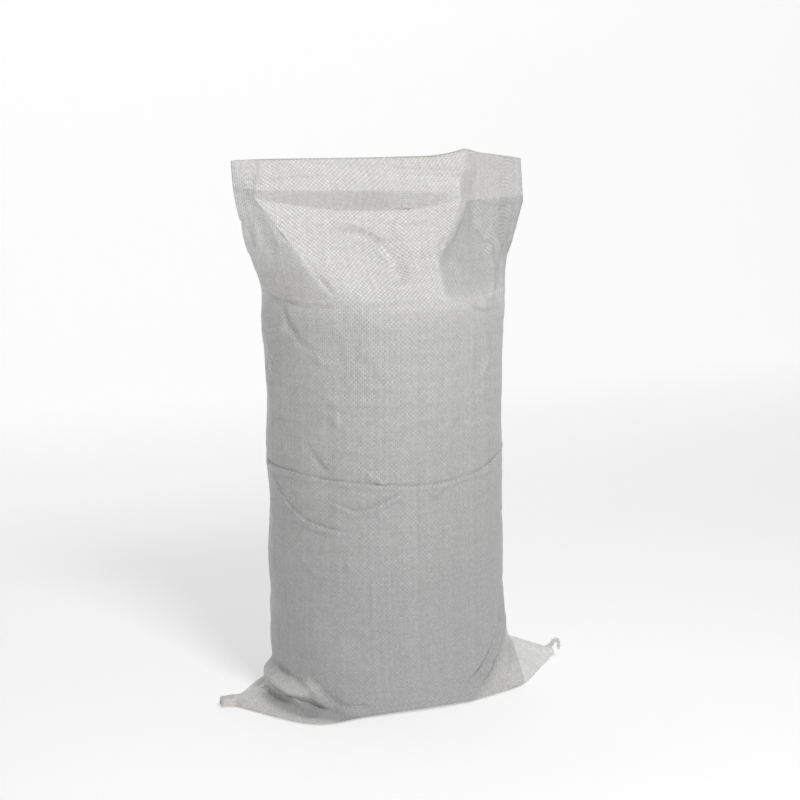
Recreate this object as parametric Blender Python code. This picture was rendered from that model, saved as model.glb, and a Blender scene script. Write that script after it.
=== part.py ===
"""Filled woven cement sack, standing on its sewn bottom with the mouth pressed flat.

Row frame: +X along the sack's flat width, from the left ear to the right one,
-Y towards the front, +Z up. The origin is on the floor, under the middle of
the sack's box. Everything is in metres.
"""

import math

import bmesh
import bpy
from mathutils import Vector

# Sack, as woven and sewn
FLAT_WIDTH = 0.45            # across the empty sack laid flat
WALL = 0.0015                # fabric, thickened from about 0.12 mm so that it is a solid
BASE_WALL = 0.0045           # two folds of fabric at the bottom, thickened likewise
GAP = 0.0003                 # left between pieces that touch

# Filled body: an oval tube whose girth is twice the flat width
HALF_SUM = 2.0 * FLAT_WIDTH / math.pi * 0.9975    # half length plus half depth of that oval
WAIST_HALF_X = 0.1593        # half length of the oval at its narrowest
WAIST_HEIGHT = 0.35
FOOT_SPREAD = 0.0092         # gained by the half length from the waist down to the floor
SHOULDER_SPREAD = 0.0027     # gained from the waist up to the shoulder
SHOULDER_HEIGHT = 0.545      # level of the crease where the full part ends, at the front
BODY_CENTRE_X = -0.0130      # the full body stands a little left of the ears' middle

# Bottom: the two corners stick out as flat ears with blunt ends
EAR_TIP_X = 0.2300           # from the middle to the end of an ear
EAR_TIP_HALF = 0.005         # half width of that end, where the sewn fold comes out
EAR_EDGE = 0.004             # thickness of an ear at its edge
BASE_HALF_Y = 0.106          # from the seam to the front of the part that rests on the floor
BOTTOM_ROUND = 0.055         # height of the rounding above the floor
CONTACT_SHARE = 0.84         # part of the body's oval that presses on the floor
CORNER_SHARPNESS = 10        # exponent that rounds the base's outline
# Angle between an ear's edge and the sack's length, for left and right, front and back
EDGE_ANGLES = {(-1, -1): 55.0, (1, -1): 46.0, (-1, 1): 50.0, (1, 1): 64.0}
RIGHT_EAR_LIFT = 0.010       # the right ear's end stands off the floor

# Roll of slack fabric that hangs over the left ear, at the front
ROLL_PROUD = 0.014
ROLL_HEIGHT = 0.042
ROLL_HALF_HEIGHT = 0.014
ROLL_COLUMN = 6.0
ROLL_HALF_COLUMNS = 3.5
UNDERCUT_DEPTH = 0.007       # groove between the roll and the ear
UNDERCUT_HEIGHT = 0.018
UNDERCUT_HALF_HEIGHT = 0.007

# Neck: above the shoulder the panels fold together, along lines that run from the shoulder
# to the mouth. Each line has its column, its angle round the body's oval, its height at the
# shoulder, and its points at the knee, the groove, the ridge and the mouth.
NECK_FRONT = (
    (0, 180.0, 0.540,
     (-0.203, -0.018, 0.603), (-0.221, -0.036, 0.660), (-0.226, -0.041, 0.682),
     (-0.229, -0.045, 0.715)),
    (9, 231.0, 0.543,
     (-0.156, -0.085, 0.600), (-0.202, -0.050, 0.670), (-0.201, -0.055, 0.679),
     (-0.189, -0.041, 0.715)),
    (15, 254.0, 0.545,
     (-0.029, -0.078, 0.592), (-0.027, -0.036, 0.648), (-0.042, -0.060, 0.677),
     (-0.020, -0.020, 0.713)),
    (21, 274.5, 0.545,
     (0.026, -0.088, 0.591), (0.079, -0.036, 0.659), (0.078, -0.033, 0.668),
     (0.097, -0.005, 0.7215)),
    (26, 296.0, 0.536,
     (0.091, -0.062, 0.581), (0.106, -0.012, 0.644), (0.105, -0.010, 0.660),
     (0.125, 0.010, 0.715)),
    (31, 320.0, 0.524,
     (0.143, -0.020, 0.590), (0.154, 0.012, 0.632), (0.159, 0.020, 0.652),
     (0.166, 0.031, 0.710)),
    (38, 360.0, 0.526,
     (0.171, 0.012, 0.586), (0.198, 0.040, 0.632), (0.205, 0.045, 0.648),
     (0.203, 0.050, 0.705)),
)
NECK_BACK = (
    (45, 403.0, 0.535,
     (0.140, 0.062, 0.588), (0.166, 0.054, 0.636), (0.163, 0.044, 0.655), None),
    (56, 450.0, 0.545,
     (-0.013, 0.082, 0.595), (0.010, 0.040, 0.650), (0.020, 0.010, 0.682), None),
    (67, 493.0, 0.543,
     (-0.145, 0.060, 0.600), (-0.188, -0.008, 0.662), (-0.190, -0.030, 0.684), None),
)
LIP_HALF = 0.0021            # half the thickness of the two panels and the slot between
PINCH = 0.42                 # most of the way to the other panel that the fabric may fill
FOLD_CROWDING = 1.35         # crowds the columns towards the side folds, for the ears

# Cement inside: heaped a little above the shoulder
FILL_EDGE_HEIGHT = 0.505
HEAP_HEIGHT = 0.028
HEAP_SHARES = (0.95, 0.80, 0.50)    # rings of the heap, as shares of its edge

# Seam thread: a flat chain of stitches along the bottom fold, with a free tail at each end
CHAIN_WIDTH = 0.0040
CHAIN_HEIGHT = 0.0018
TAIL_RADIUS = 0.0018
TAIL_REACH = 0.2455          # from the middle to the far side of either tail
TAIL_HOOK_RADIUS = 0.0050
TAIL_HOOK_TURN = math.radians(200)
TAIL_ARCH = 0.0130           # rise of the arched right tail
TAIL_STEPS = 9
TAIL_SIDES = 8
CHAIN_STEPS = 24

COLUMNS = 76                 # points round the sack, from the left fold by the front
RIGHT_FOLD = 38
BOTTOM_LEVELS = (0.0, EAR_EDGE, 0.008, 0.013, 0.020, 0.030, 0.042, BOTTOM_ROUND)
BODY_LEVELS = (0.10, 0.18, 0.27, 0.35, 0.43, FILL_EDGE_HEIGHT)


def clear_scene():
    for old in list(bpy.data.objects):
        bpy.data.objects.remove(old, do_unlink=True)


def plain_material(name, colour, roughness):
    material = bpy.data.materials.new(name)
    material.use_nodes = True
    shader = material.node_tree.nodes["Principled BSDF"]
    shader.inputs["Base Color"].default_value = (*colour, 1.0)
    shader.inputs["Roughness"].default_value = roughness
    shader.inputs["Metallic"].default_value = 0.0
    return material


def add_object(name, bm, material):
    """Turn a bmesh into a smooth-shaded object with outward faces."""
    bmesh.ops.recalc_face_normals(bm, faces=bm.faces)
    mesh = bpy.data.meshes.new(name)
    bm.to_mesh(mesh)
    bm.free()
    mesh.materials.append(material)
    mesh.shade_smooth()
    mesh.set_sharp_from_angle(angle=math.radians(40))
    piece = bpy.data.objects.new(name, mesh)
    bpy.context.collection.objects.link(piece)
    return piece


def bridge(bm, lower, upper):
    """Join two rings of the same number of points with a band of faces."""
    count = len(lower)
    for i in range(count):
        k = (i + 1) % count
        bm.faces.new((lower[i], lower[k], upper[k], upper[i]))


def cap(bm, ring, centre):
    """Close a ring with a fan of triangles round one middle point."""
    middle = bm.verts.new(centre)
    count = len(ring)
    for i in range(count):
        bm.faces.new((ring[i], ring[(i + 1) % count], middle))


def ring_verts(bm, points):
    return [bm.verts.new(point) for point in points]


def guide_lines():
    """The neck's fold lines in order round the sack, closed by the first one again."""
    first = NECK_FRONT[0]
    closing = (COLUMNS, first[1] + 360.0) + first[2:]
    return NECK_FRONT + NECK_BACK + (closing,)


def between_guides(column):
    """The two fold lines on either side of a column, and the share of the way between."""
    lines = guide_lines()
    for before, after in zip(lines, lines[1:]):
        if column <= after[0]:
            return before, after, (column - before[0]) / (after[0] - before[0])
    raise ValueError("no such column")


def column_angle(column):
    """Angle round the oval: the left fold is at 180 degrees, the front at 270."""
    before, after, share = between_guides(column)
    if before[0] in (0, RIGHT_FOLD):
        share = share ** FOLD_CROWDING
    elif after[0] in (RIGHT_FOLD, COLUMNS):
        share = 1.0 - (1.0 - share) ** FOLD_CROWDING
    return math.radians(before[1] + (after[1] - before[1]) * share)


def half_length(z):
    """Half length of the body's oval at a height."""
    if z < WAIST_HEIGHT:
        share = (WAIST_HEIGHT - z) / WAIST_HEIGHT
        return WAIST_HALF_X + FOOT_SPREAD * share ** 2
    share = (z - WAIST_HEIGHT) / (SHOULDER_HEIGHT - WAIST_HEIGHT)
    return WAIST_HALF_X + SHOULDER_SPREAD * share ** 2


def centre_x(z):
    """Middle of the body's oval: over the ears' middle on the floor, left of it above."""
    share = max(WAIST_HEIGHT - z, 0.0) / WAIST_HEIGHT
    return BODY_CENTRE_X * (1.0 - share ** 2)


def oval_point(column, z):
    """Point of the body's oval, measured from its own centre."""
    angle = column_angle(column)
    along = half_length(z)
    across = HALF_SUM - along
    return Vector((along * math.cos(angle), across * math.sin(angle)))


def base_reach(direction):
    """How far the base's outline, ears included, lies from its centre in a direction."""
    slant = math.atan2(abs(direction.y), abs(direction.x))
    side = -1 if direction.x < 0.0 else 1
    end = -1 if direction.y < 0.0 else 1
    edge_angle = math.radians(EDGE_ANGLES[(side, end)])
    apex = EAR_TIP_X + EAR_TIP_HALF / math.tan(edge_angle)
    edge = apex * math.sin(edge_angle) / math.sin(slant + edge_angle)
    front = BASE_HALF_Y / max(math.sin(slant), 1e-6)
    power = -CORNER_SHARPNESS
    rounded = (edge ** power + front ** power) ** (1.0 / power)
    return min(rounded, EAR_TIP_X / math.cos(slant))


def rounding(z):
    """1 on the floor, 0 at the top of the bottom rounding, along a quarter ellipse."""
    lift = max(z - EAR_EDGE, 0.0) / (BOTTOM_ROUND - EAR_EDGE)
    rest = 1.0 - min(lift, 1.0)
    return 1.0 - math.sqrt(1.0 - rest ** 2)


def bump(value, middle, half_width):
    return math.exp(-((value - middle) / half_width) ** 2)


def slack_roll(column, z):
    """Outward push of the roll over the left ear, less the groove under it."""
    round_way = bump(column, ROLL_COLUMN, ROLL_HALF_COLUMNS)
    roll = ROLL_PROUD * bump(z, ROLL_HEIGHT, ROLL_HALF_HEIGHT)
    undercut = UNDERCUT_DEPTH * bump(z, UNDERCUT_HEIGHT, UNDERCUT_HALF_HEIGHT)
    return round_way * (roll - undercut)


def ear_lift(x):
    """Height off the floor of the right ear: it rises evenly from the part that presses."""
    start = CONTACT_SHARE * half_length(0.0)
    return RIGHT_EAR_LIFT * max(x - start, 0.0) / (EAR_TIP_X - start)


def lifted(point):
    """Lift what lies near the floor with the right ear."""
    near = max(1.0 - point.z / BOTTOM_ROUND, 0.0)
    return point + Vector((0.0, 0.0, ear_lift(point.x) * near))


def outer_ring(z):
    """Outside of the sack at a height up to the shoulder."""
    points = []
    for column in range(COLUMNS):
        oval = oval_point(column, z)
        way = oval.normalized()
        reach = oval.length + (base_reach(way) - oval.length) * rounding(z)
        reach += slack_roll(column, z)
        points.append(lifted(Vector((centre_x(z) + way.x * reach, way.y * reach, z))))
    return points


def filled_ring(z, inset):
    """The filled part without the ears; at the bottom it is what presses on the floor."""
    points = []
    for column in range(COLUMNS):
        oval = oval_point(column, z)
        way = oval.normalized()
        foot = min(base_reach(way), oval.length * CONTACT_SHARE)
        reach = oval.length + (foot - oval.length) * rounding(z) - inset
        points.append(Vector((centre_x(z) + way.x * reach, way.y * reach, z)))
    return points


def shoulder_ring(inset):
    """The crease where the full body ends, at each fold line's own height."""
    points = []
    for column in range(COLUMNS):
        before, after, share = between_guides(column)
        z = before[2] + (after[2] - before[2]) * share
        oval = oval_point(column, z)
        reach = oval.length - inset
        way = oval.normalized()
        points.append(Vector((centre_x(z) + way.x * reach, way.y * reach, z)))
    return points


def neck_corner(line, level):
    """A fold line's point at a level of the neck; the back lip lies behind the front one."""
    if line[level] is not None:
        return Vector(line[level])
    front, after, share = between_guides(COLUMNS - line[0])
    return Vector(front[level]).lerp(Vector(after[level]), share)


def fold_ring(level):
    """Straight panels between the fold lines, at the knee, groove, ridge or mouth."""
    points = []
    for column in range(COLUMNS):
        before, after, share = between_guides(column)
        points.append(neck_corner(before, level).lerp(neck_corner(after, level), share))
    return points


def open_lips(points):
    """Part the front and back lips, which meet in one line, by the fabric and the slot."""
    parted = []
    for column, point in enumerate(points):
        if column % RIGHT_FOLD == 0:
            parted.append(point)
            continue
        along = points[(column + 1) % COLUMNS] - points[column - 1]
        outwards = Vector((along.y, -along.x, 0.0)).normalized()
        parted.append(point + outwards * LIP_HALF)
    return parted


def halfway(lower, upper, share=0.5):
    return [low.lerp(high, share) for low, high in zip(lower, upper)]


def neck_rings():
    """Outside of the neck, from just above the shoulder to the mouth."""
    shoulder = shoulder_ring(0.0)
    knee, groove, ridge, mouth = (fold_ring(level) for level in (3, 4, 5, 6))
    mouth = open_lips(mouth)
    return [
        halfway(shoulder, knee),
        knee,
        halfway(knee, groove),
        groove,
        halfway(groove, ridge),
        ridge,
        halfway(ridge, mouth),
        mouth,
    ]


def drawn_in(points):
    """The inside of a neck ring: each point moves through the fabric to the other panel."""
    inside = []
    middle = sum(points, Vector()) / len(points)
    for column, point in enumerate(points):
        if column % RIGHT_FOLD == 0:
            inward = middle - point
            inward.z = 0.0
            inside.append(point + inward.normalized() * WALL)
            continue
        across = points[COLUMNS - column] - point
        inside.append(point + across * min(WALL / across.length, PINCH))
    return inside


def stack(bm, rings):
    """Make the rings' points and join each ring to the next; give them all back."""
    made = [ring_verts(bm, ring) for ring in rings]
    for lower, upper in zip(made, made[1:]):
        bridge(bm, lower, upper)
    return made


def seam_path(height):
    """Middle line along the bottom seam at a height over the floor or the lifted ear."""
    points = []
    for i in range(CHAIN_STEPS + 1):
        x = (EAR_TIP_X + 2.0 * GAP) * (2.0 * i / CHAIN_STEPS - 1.0)
        points.append(lifted(Vector((x, 0.0, height))))
    return points


def seam_groove():
    """Hidden cutter: the bed that the stitches press into the bottom."""
    half = CHAIN_WIDTH / 2.0 + GAP
    top = CHAIN_HEIGHT + 2.0 * GAP
    path = seam_path(0.0)
    beyond = Vector((EAR_TIP_HALF, 0.0, 0.0))
    rings = []
    for point in [path[0] - beyond] + path + [path[-1] + beyond]:
        corners = ((-half, -top), (half, -top), (half, top), (-half, top))
        rings.append([point + Vector((0.0, y, z)) for y, z in corners])
    bm = bmesh.new()
    made = stack(bm, rings)
    bm.faces.new(made[0])
    bm.faces.new(made[-1])
    cutter = add_object("seam_groove", bm, plain_material("cutter", (1.0, 0.0, 0.0), 1.0))
    cutter.hide_render = True
    cutter.display_type = "WIRE"
    return cutter


def woven_sack():
    """The fabric: one closed shell, open only at the slot between the two lips."""
    bm = bmesh.new()
    outside = [filled_ring(0.0, 0.0)]
    outside += [outer_ring(z) for z in BOTTOM_LEVELS + BODY_LEVELS]
    neck = neck_rings()
    outer = stack(bm, outside + [shoulder_ring(0.0)] + neck)
    inside = [filled_ring(z, WALL) for z in (BASE_WALL,) + BOTTOM_LEVELS[2:] + BODY_LEVELS]
    inner = stack(bm, inside + [shoulder_ring(WALL)] + [drawn_in(ring) for ring in neck])
    cap(bm, outer[0], (0.0, 0.0, 0.0))
    cap(bm, inner[0], (centre_x(0.0), 0.0, BASE_WALL))
    bridge(bm, outer[-1], inner[-1])
    fabric = plain_material("woven_polypropylene", (0.78, 0.78, 0.76), 0.45)
    sack = add_object("woven_sack", bm, fabric)
    cut = sack.modifiers.new("seam_groove", "BOOLEAN")
    cut.operation = "DIFFERENCE"
    cut.solver = "EXACT"
    cut.object = seam_groove()
    return sack


def cement_fill():
    """The powder, as one plain core that fills the sack up to the shoulder."""
    bm = bmesh.new()
    inset = WALL + GAP
    rings = [[point + Vector((0.0, 0.0, GAP)) for point in filled_ring(BASE_WALL, inset)]]
    rings += [filled_ring(z, inset) for z in BOTTOM_LEVELS[2:] + BODY_LEVELS]
    middle = Vector((centre_x(FILL_EDGE_HEIGHT), 0.0, FILL_EDGE_HEIGHT))
    edge = rings[-1]
    for share in HEAP_SHARES:
        rise = Vector((0.0, 0.0, HEAP_HEIGHT * math.sqrt(1.0 - share ** 2)))
        rings.append([middle.lerp(point, share) + rise for point in edge])
    made = stack(bm, rings)
    cap(bm, made[0], (centre_x(0.0), 0.0, BASE_WALL + GAP))
    cap(bm, made[-1], middle + Vector((0.0, 0.0, HEAP_HEIGHT)))
    return add_object("cement_fill", bm, plain_material("grey_cement", (0.35, 0.35, 0.34), 0.9))


def left_tail(side):
    """Free end on the left: straight out along the floor, then round in a hook."""
    radius = TAIL_HOOK_RADIUS
    hook_x = TAIL_REACH - TAIL_RADIUS - radius
    points = []
    for i in range(TAIL_STEPS + 1):
        turn = TAIL_HOOK_TURN * i / TAIL_STEPS
        out = hook_x + radius * math.sin(turn)
        points.append(Vector((side * out, radius * (1.0 - math.cos(turn)), TAIL_RADIUS + GAP)))
    return points


def right_tail(side):
    """Free end on the right: it springs up from the ear's tip and arches back down."""
    start = EAR_TIP_X + 1.5 * TAIL_RADIUS
    half = (TAIL_REACH - TAIL_RADIUS - start) / 2.0
    points = []
    for i in range(TAIL_STEPS + 1):
        turn = math.pi * i / TAIL_STEPS
        out = start + half * (1.0 - math.cos(turn))
        height = RIGHT_EAR_LIFT + TAIL_RADIUS + GAP
        points.append(Vector((side * out, 0.0, height + TAIL_ARCH * math.sin(turn))))
    return points


def thread_path():
    """Middle line of the seam thread, and the section's half width and half height on it."""
    flat = (CHAIN_WIDTH / 2.0, CHAIN_HEIGHT / 2.0)
    free = (TAIL_RADIUS, TAIL_RADIUS)
    path = [(point, free) for point in reversed(left_tail(-1.0))]
    path += [(point, flat) for point in seam_path(CHAIN_HEIGHT / 2.0 + GAP)]
    path += [(point, free) for point in right_tail(1.0)]
    return path


def seam_thread():
    """The chain-stitched seam thread, from free end to free end."""
    bm = bmesh.new()
    path = thread_path()
    middles = [point for point, half in path]
    up = Vector((0.0, 0.0, 1.0))
    rings = []
    for i, (middle, half) in enumerate(path):
        along = middles[min(i + 1, len(path) - 1)] - middles[max(i - 1, 0)]
        along.normalize()
        up = (up - along * up.dot(along)).normalized()
        across = up.cross(along)
        ring = []
        for k in range(TAIL_SIDES):
            turn = 2.0 * math.pi * (k + 0.5) / TAIL_SIDES
            ring.append(middle + across * (half[0] * math.cos(turn)) + up * (half[1] * math.sin(turn)))
        rings.append(ring)
    made = stack(bm, rings)
    cap(bm, made[0], middles[0])
    cap(bm, made[-1], middles[-1])
    return add_object("seam_thread", bm, plain_material("white_thread", (0.8, 0.79, 0.75), 0.7))


def main():
    clear_scene()
    woven_sack()
    cement_fill()
    seam_thread()


main()
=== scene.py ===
# %% [markdown]
# # A filled cement sack
#
# The object is a white woven sack of cement. It stands on its sewn bottom, with two flat
# corner ears on the floor and the empty mouth pressed flat above the fill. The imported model
# gives the exact size; this lesson makes the cloth, the thread and the hidden powder.

# %% Load the frame
import math

import bpy
import numpy as np
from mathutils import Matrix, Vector, noise


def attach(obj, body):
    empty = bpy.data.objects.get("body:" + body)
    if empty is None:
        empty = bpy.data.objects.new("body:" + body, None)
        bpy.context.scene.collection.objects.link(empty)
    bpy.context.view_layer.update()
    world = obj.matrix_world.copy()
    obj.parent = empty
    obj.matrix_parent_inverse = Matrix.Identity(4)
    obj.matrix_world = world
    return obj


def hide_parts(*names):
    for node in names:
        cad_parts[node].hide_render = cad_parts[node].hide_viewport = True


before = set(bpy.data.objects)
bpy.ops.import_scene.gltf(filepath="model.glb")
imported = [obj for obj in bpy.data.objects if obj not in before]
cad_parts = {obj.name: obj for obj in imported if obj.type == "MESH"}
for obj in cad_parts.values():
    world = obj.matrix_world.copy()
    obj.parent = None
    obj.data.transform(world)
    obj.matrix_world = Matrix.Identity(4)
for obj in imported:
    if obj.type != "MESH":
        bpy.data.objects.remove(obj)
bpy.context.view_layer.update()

# %% [markdown]
# ## Camera
#
# The camera stands two metres away, a little above the sack's mouth, and looks slightly
# down. A long lens keeps the sides almost parallel, as a product photographer would.

# %% Place the camera
CAMERA_PLACE = Vector((-0.7595, -1.9734, 0.8220))
CAMERA_AIM = Vector((0.3553, 0.9136, -0.1980))
PICTURE_SIDE = 800
FOCAL_PIXELS = 1632
SENSOR_WIDTH = 36.0

bpy.ops.object.camera_add(location=CAMERA_PLACE, rotation=CAMERA_AIM.to_track_quat("-Z", "Y").to_euler())
camera = bpy.context.object
camera.data.sensor_width = SENSOR_WIDTH
camera.data.lens = FOCAL_PIXELS / PICTURE_SIDE * SENSOR_WIDTH
bpy.context.scene.camera = camera
print("lens in mm", round(camera.data.lens, 1))

# %% [markdown]
# ## The sack's own measures
#
# The sack is woven as a tube that lies 450 mm wide when empty, so the way round it is
# always 900 mm. Filled, that girth becomes an oval. Above the fill it folds flat again.

# %% Name the measures
FLAT_WIDTH = 0.45
# an oval's half sizes add up to slightly less than those of a circle with the same girth
OVAL_SHARE = 0.9975
HALF_SUM = 2.0 * FLAT_WIDTH / math.pi * OVAL_SHARE
WAIST_HALF_X = 0.1593
WAIST_HEIGHT = 0.35
FOOT_SPREAD = 0.0092
SHOULDER_SPREAD = 0.0027
SHOULDER_HEIGHT = 0.545
BODY_CENTRE_X = -0.0130
EAR_TIP_X = 0.2300
EAR_TIP_HALF = 0.005
BASE_HALF_Y = 0.106
BOTTOM_ROUND = 0.055
CORNER_SHARPNESS = 10
RIGHT_CORNER_SHARPNESS = 34
# slope of each ear's edge in degrees, by its side and its end: left or right, front or back
EDGE_ANGLES = {(-1, -1): 55.0, (1, -1): 46.0, (-1, 1): 50.0, (1, 1): 64.0}
print("waist", 2.0 * WAIST_HALF_X, "m wide and", round(2.0 * (HALF_SUM - WAIST_HALF_X), 4), "m deep")

# %% [markdown]
# ## Fold lines of the neck
#
# Above the fill the fabric is a folded sheet: flat panels that meet in creases. Each line
# below is one crease or bend, followed from the shoulder over the knee, the groove and the
# ridge to the mouth. The panels are drawn straight between neighbouring lines.

# %% List the fold lines
# (angle round the body, height at the shoulder, knee, groove, ridge, mouth)
FRONT_LINES = (
    (180.0, 0.540, (-0.203, -0.018, 0.603), (-0.221, -0.036, 0.660), (-0.226, -0.041, 0.682),
     (-0.229, -0.045, 0.715)),
    (231.0, 0.543, (-0.156, -0.085, 0.600), (-0.202, -0.050, 0.670), (-0.201, -0.055, 0.679),
     (-0.189, -0.041, 0.715)),
    (254.0, 0.545, (-0.029, -0.078, 0.592), (-0.027, -0.036, 0.648), (-0.042, -0.052, 0.6745),
     (-0.020, -0.020, 0.713)),
    (274.5, 0.545, (0.026, -0.092, 0.591), (0.079, -0.036, 0.659), (0.078, -0.033, 0.668),
     (0.097, -0.005, 0.7215)),
    (296.0, 0.536, (0.091, -0.050, 0.581), (0.106, -0.006, 0.644), (0.105, -0.004, 0.660),
     (0.125, 0.010, 0.715)),
    (320.0, 0.524, (0.143, -0.020, 0.590), (0.154, 0.012, 0.632), (0.159, 0.020, 0.652),
     (0.166, 0.031, 0.710)),
    (360.0, 0.526, (0.171, 0.012, 0.586), (0.198, 0.040, 0.632), (0.205, 0.045, 0.648),
     (0.203, 0.050, 0.705)),
)
BACK_LINES = (
    (403.0, 0.535, (0.140, 0.062, 0.588), (0.166, 0.054, 0.636), (0.163, 0.044, 0.655)),
    (450.0, 0.545, (-0.013, 0.082, 0.595), (0.010, 0.040, 0.650), (0.020, 0.010, 0.682)),
    (493.0, 0.543, (-0.145, 0.060, 0.600), (-0.188, -0.008, 0.662), (-0.190, -0.030, 0.684)),
)
FRONT_SPANS = (46, 56, 44, 20, 22, 34)
BACK_SPANS = (18, 24, 24, 18)
FRONT_COUNT = sum(FRONT_SPANS)
COLUMNS = FRONT_COUNT + sum(BACK_SPANS)
FOLD_CROWDING = 1.35
print("columns round the sack", COLUMNS)

# %% [markdown]
# Every column of the mesh starts at a share of the way between two fold lines. The shares
# are crowded towards the two side folds, because the ears spread out from there.

# %% Spread the columns
def span_shares(counts):
    """The span that each column lies in, and its share of the way across that span."""
    spans = []
    shares = []
    for index, count in enumerate(counts):
        for step in range(count):
            spans.append(index)
            shares.append(step / count)
    return np.array(spans), np.array(shares)


def straight(stops, spans, shares):
    """A value for each column, straight between the stops at its span's two ends."""
    return stops[spans] + (stops[spans + 1] - stops[spans]) * shares


SPANS, SHARES = span_shares(FRONT_SPANS + BACK_SPANS)


def column_angles():
    """Angle of each column round the body's oval, in radians."""
    bearings = np.array([line[0] for line in FRONT_LINES + BACK_LINES] + [FRONT_LINES[0][0] + 360.0])
    first = (SPANS == 0) | (SPANS == len(FRONT_SPANS))
    last = (SPANS == len(FRONT_SPANS) - 1) | (SPANS == len(bearings) - 2)
    shares = np.where(first, SHARES ** FOLD_CROWDING, SHARES)
    shares = np.where(last, 1.0 - (1.0 - shares) ** FOLD_CROWDING, shares)
    return np.radians(straight(bearings, SPANS, shares))


ANGLES = column_angles()
WAYS = np.stack([np.cos(ANGLES), np.sin(ANGLES)], axis=1)
print("degrees between columns", np.round(np.degrees([np.diff(ANGLES).min(), np.diff(ANGLES).max()]), 2))

# %% [markdown]
# ## The filled body
#
# Powder pushes the tube out to an oval. It is slimmest at the waist and spreads a little
# towards the floor, where the weight is.

# %% Shape the body rings
def smoothstep(value, low, high):
    share = np.clip((value - low) / (high - low), 0.0, 1.0)
    return share * share * (3.0 - 2.0 * share)


def half_length(z):
    if z < WAIST_HEIGHT:
        return WAIST_HALF_X + FOOT_SPREAD * ((WAIST_HEIGHT - z) / WAIST_HEIGHT) ** 2
    share = (z - WAIST_HEIGHT) / (SHOULDER_HEIGHT - WAIST_HEIGHT)
    return WAIST_HALF_X + SHOULDER_SPREAD * share ** 2


def centre_x(z):
    share = max(WAIST_HEIGHT - z, 0.0) / WAIST_HEIGHT
    return BODY_CENTRE_X * (1.0 - share ** 2)


def oval(z):
    """The body's outline at a height, measured from its own centre."""
    along = half_length(z)
    return WAYS * np.array([along, HALF_SUM - along])


def body_ring(z):
    flat = oval(z) + np.array([centre_x(z), 0.0])
    return np.column_stack([flat, np.full(COLUMNS, z)])


def shoulder_ring():
    """The crease where the full part ends, at each fold line's own height."""
    heights = np.array([line[1] for line in FRONT_LINES + BACK_LINES + FRONT_LINES[:1]])
    ring = body_ring(SHOULDER_HEIGHT)
    ring[:, 2] = straight(heights, SPANS, SHARES)
    return ring


# %% [markdown]
# ## The sewn bottom
#
# A flat tube that is sewn straight across and then filled stands like a carton with its
# corners pulled out. Each corner is an ear: a low tent with its ridge along the side fold
# and a blunt tip where the seam comes out. The tents rise to a knee on the body.

# %% Shape the ears
EAR_EDGE = 0.003
# the knee lies this far out from the body's outline at this height
KNEE_OUT = 0.004
KNEE_OUTLINE = 0.020
# height of the knee at the side fold, and how far it runs to the front and to the back
KNEES = {-1: (0.027, 0.104, 0.085), 1: (0.047, 0.079, 0.080)}
# the right ear's front knee runs straight down to the corner, at this distance and slope
RIGHT_KNEE_X = 0.1605
RIGHT_KNEE_SLOPE = 1.06
# the base's front edge slants back to that corner: slant in degrees, distance from the middle
RIGHT_SLANT = 16.5
RIGHT_SLANT_REACH = 0.1212
# a tent fades into the round bottom between these shares of the knee's run
TENT_END = (0.75, 1.15)
RIGHT_TENT_END = (0.92, 1.10)
TIP_RISE = {-1: 0.010, 1: 0.019}
TIP_RISE_LENGTH = 0.030
# place, half width and push of the left front corner's bulge
FRONT_CORNER = (-0.135, 0.030, 0.008)


def side_of(values):
    return np.where(values < 0.0, -1, 1)


def base_reach(flat_ways):
    """How far the base's outline, ears included, lies from its centre in a direction."""
    slant = np.arctan2(np.abs(flat_ways[:, 1]), np.abs(flat_ways[:, 0]))
    sides, ends = side_of(flat_ways).T
    edge_angle = np.radians([EDGE_ANGLES[(s, e)] for s, e in zip(sides, ends)])
    apex = EAR_TIP_X + EAR_TIP_HALF / np.tan(edge_angle)
    edge = apex * np.sin(edge_angle) / np.sin(slant + edge_angle)
    front = BASE_HALF_Y / np.maximum(np.sin(slant), 1e-6)
    right_front = (sides > 0) & (ends < 0)
    slanting = RIGHT_SLANT_REACH / np.sin(slant + math.radians(RIGHT_SLANT))
    front = np.where(right_front, np.minimum(front, slanting), front)
    power = -np.where(right_front, RIGHT_CORNER_SHARPNESS, CORNER_SHARPNESS)
    rounded = (edge ** power + front ** power) ** (1.0 / power)
    return np.minimum(rounded, EAR_TIP_X / np.cos(slant))


def edge_ring():
    """The line that the ears and the body's bottom draw on the floor."""
    flat = oval(0.0)
    reach = np.linalg.norm(flat, axis=1)
    ways = flat / reach[:, None]
    out = ways * base_reach(ways)[:, None]
    place, width, push = FRONT_CORNER
    bulge = push * np.exp(-((out[:, 0] - place) / width) ** 2)
    out[:, 1] -= np.where(out[:, 1] < -0.06, bulge, 0.0)
    rise = np.array([TIP_RISE[s] for s in side_of(out[:, 0])])
    from_tip = np.hypot(np.abs(out[:, 0]) - EAR_TIP_X, out[:, 1])
    z = EAR_EDGE + rise * np.clip(1.0 - from_tip / TIP_RISE_LENGTH, 0.0, 1.0) ** 1.5
    return np.column_stack([out, z])


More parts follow.
